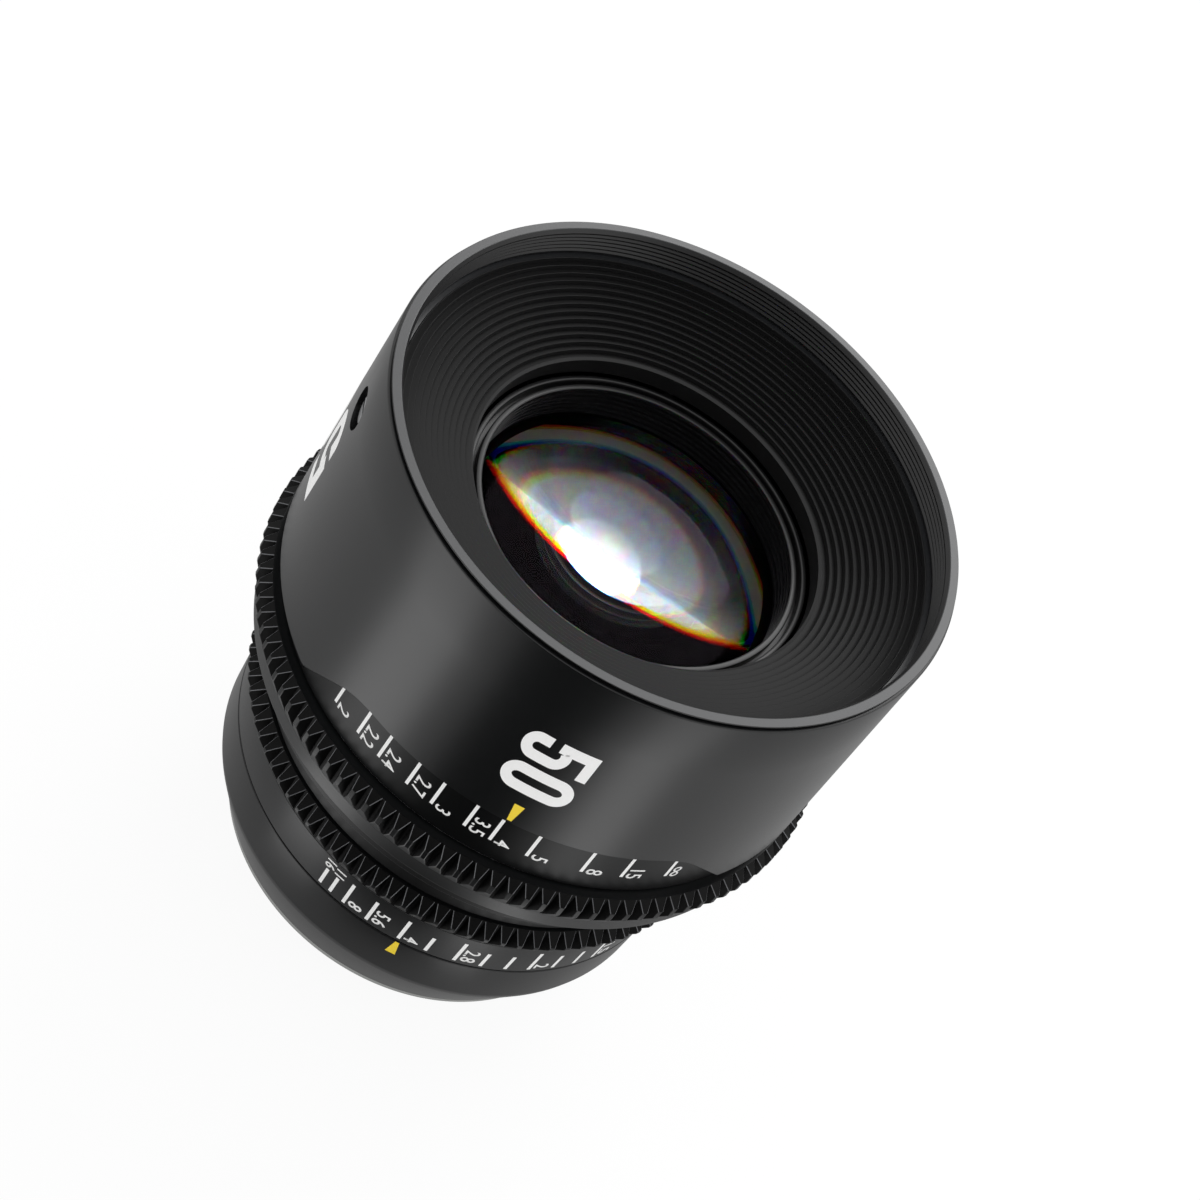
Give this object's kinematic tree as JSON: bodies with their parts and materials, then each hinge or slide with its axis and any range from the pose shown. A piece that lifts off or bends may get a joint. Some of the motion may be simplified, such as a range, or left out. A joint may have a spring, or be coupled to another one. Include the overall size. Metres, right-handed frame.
{
  "type": "cine prime lens",
  "caption": "Manual cine prime lens with a geared focus ring under a windowed barrel, a geared iris ring, a ridged front baffle and a bayonet mount.",
  "frame": {"origin": "on the lens axis in the flange plane of the bayonet mount", "axes": "+Z along the lens axis out through the front glass, -Y towards the two index marks, +X to their right"},
  "size_m": [0.088, 0.088, 0.0984],
  "materials": {
    "black_anodised": "fine satin black anodising",
    "black_gear": "satin black anodising on cut teeth",
    "matte_black": "dead matt anti-reflection black",
    "inner_aluminium": "plain turned aluminium",
    "mount_steel": "turned stainless steel",
    "screw_steel": "plain steel",
    "dark_screw_steel": "blackened steel",
    "brass": "turned brass",
    "bearing_polymer": "natural bearing polymer",
    "blade_steel": "blackened blade steel",
    "coated_glass": "polished and multi-coated"
  },
  "bodies": {
    "barrel": {"front_ring": "black_anodised", "baffle_cone": "matte_black", "front_barrel": "black_anodised", "tape_hook_screw": "screw_steel", "barrel_screws": "screw_steel", "guide_sleeve": "inner_aluminium", "focus_thrust_ring": "bearing_polymer", "centre_ring": "black_anodised", "centre_ring_screws": "dark_screw_steel", "focus_stop_blocks": "brass", "rear_barrel": "black_anodised", "bayonet_mount": "mount_steel", "mount_screws": "screw_steel"},
    "focus_ring": {"focus_ring": "black_gear", "focus_stop_pin": "screw_steel", "focus_scale_drum": "black_anodised", "cam_sleeve": "inner_aluminium", "cam_sleeve_screws": "dark_screw_steel"},
    "optical_block": {"block_barrel": "inner_aluminium", "cam_followers": "brass", "follower_screws": "screw_steel", "front_cell": "matte_black", "front_cell_screws": "dark_screw_steel", "front_retaining_ring": "matte_black", "second_retaining_ring": "matte_black", "doublet_retaining_ring": "matte_black", "element_1_front_meniscus": "coated_glass", "element_2_meniscus": "coated_glass", "element_3_crown": "coated_glass", "element_4_flint": "coated_glass", "element_5_flint": "coated_glass", "element_6_crown": "coated_glass", "element_7_biconvex": "coated_glass", "element_8_rear": "coated_glass", "rear_cell": "matte_black", "rear_cell_screws": "dark_screw_steel", "rear_spacer": "matte_black", "rear_retaining_ring": "matte_black", "stray_light_ring": "matte_black", "iris_base": "matte_black"},
    "iris_ring": {"iris_ring": "black_gear", "iris_drive_fork": "brass", "fork_screw": "dark_screw_steel"},
    "iris_cam": {"iris_cam_ring": "brass", "iris_cam_lever": "screw_steel"},
    "iris_blade_1": {"iris_blade_1": "blade_steel"},
    "iris_blade_2": {"iris_blade_2": "blade_steel"},
    "iris_blade_3": {"iris_blade_3": "blade_steel"},
    "iris_blade_4": {"iris_blade_4": "blade_steel"},
    "iris_blade_5": {"iris_blade_5": "blade_steel"},
    "iris_blade_6": {"iris_blade_6": "blade_steel"},
    "iris_blade_7": {"iris_blade_7": "blade_steel"},
    "iris_blade_8": {"iris_blade_8": "blade_steel"},
    "iris_blade_9": {"iris_blade_9": "blade_steel"}
  },
  "joints": [
    {"name": "focus_turn", "type": "hinge", "parent": "barrel", "child": "focus_ring", "pos_m": [0, 0, 0.05], "axis": [0, 0, 1], "range_deg": [-37, 39.3]},
    {"name": "block_slide", "type": "slide", "parent": "barrel", "child": "optical_block", "axis": [0, 0, 1], "range_m": [-0.0025, 0.00265]},
    {"name": "iris_turn", "type": "hinge", "parent": "barrel", "child": "iris_ring", "pos_m": [0, 0, 0.0245], "axis": [0, 0, 1], "range_deg": [-51.5, 22]},
    {"name": "iris_cam_turn", "type": "hinge", "parent": "optical_block", "child": "iris_cam", "pos_m": [0, 0, 0.0452], "axis": [0, 0, 1], "range_deg": [-52, 22.5]},
    {"name": "blade_1_swing", "type": "hinge", "parent": "optical_block", "child": "iris_blade_1", "pos_m": [0.0234, 0, 0.0431], "axis": [0, 0, 1], "range_deg": [-22.2, 9.6]},
    {"name": "blade_2_swing", "type": "hinge", "parent": "optical_block", "child": "iris_blade_2", "pos_m": [0.01793, 0.01504, 0.0431], "axis": [0, 0, 1], "range_deg": [-22.2, 9.6]},
    {"name": "blade_3_swing", "type": "hinge", "parent": "optical_block", "child": "iris_blade_3", "pos_m": [0.00406, 0.02304, 0.0431], "axis": [0, 0, 1], "range_deg": [-22.2, 9.6]},
    {"name": "blade_4_swing", "type": "hinge", "parent": "optical_block", "child": "iris_blade_4", "pos_m": [-0.0117, 0.02026, 0.0431], "axis": [0, 0, 1], "range_deg": [-22.2, 9.6]},
    {"name": "blade_5_swing", "type": "hinge", "parent": "optical_block", "child": "iris_blade_5", "pos_m": [-0.02199, 0.008, 0.0431], "axis": [0, 0, 1], "range_deg": [-22.2, 9.6]},
    {"name": "blade_6_swing", "type": "hinge", "parent": "optical_block", "child": "iris_blade_6", "pos_m": [-0.02199, -0.008, 0.0431], "axis": [0, 0, 1], "range_deg": [-22.2, 9.6]},
    {"name": "blade_7_swing", "type": "hinge", "parent": "optical_block", "child": "iris_blade_7", "pos_m": [-0.0117, -0.02026, 0.0431], "axis": [0, 0, 1], "range_deg": [-22.2, 9.6]},
    {"name": "blade_8_swing", "type": "hinge", "parent": "optical_block", "child": "iris_blade_8", "pos_m": [0.00406, -0.02304, 0.0431], "axis": [0, 0, 1], "range_deg": [-22.2, 9.6]},
    {"name": "blade_9_swing", "type": "hinge", "parent": "optical_block", "child": "iris_blade_9", "pos_m": [0.01793, -0.01504, 0.0431], "axis": [0, 0, 1], "range_deg": [-22.2, 9.6]}
  ],
  "couplings": [
    {"joint": "block_slide", "follows": "focus_turn", "m_per_rad": 0.0037799},
    {"joint": "iris_cam_turn", "follows": "iris_turn", "ratio": 1},
    {"joint": "blade_1_swing", "follows": "iris_turn", "ratio": 0.427},
    {"joint": "blade_2_swing", "follows": "iris_turn", "ratio": 0.427},
    {"joint": "blade_3_swing", "follows": "iris_turn", "ratio": 0.427},
    {"joint": "blade_4_swing", "follows": "iris_turn", "ratio": 0.427},
    {"joint": "blade_5_swing", "follows": "iris_turn", "ratio": 0.427},
    {"joint": "blade_6_swing", "follows": "iris_turn", "ratio": 0.427},
    {"joint": "blade_7_swing", "follows": "iris_turn", "ratio": 0.427},
    {"joint": "blade_8_swing", "follows": "iris_turn", "ratio": 0.427},
    {"joint": "blade_9_swing", "follows": "iris_turn", "ratio": 0.427}
  ]
}
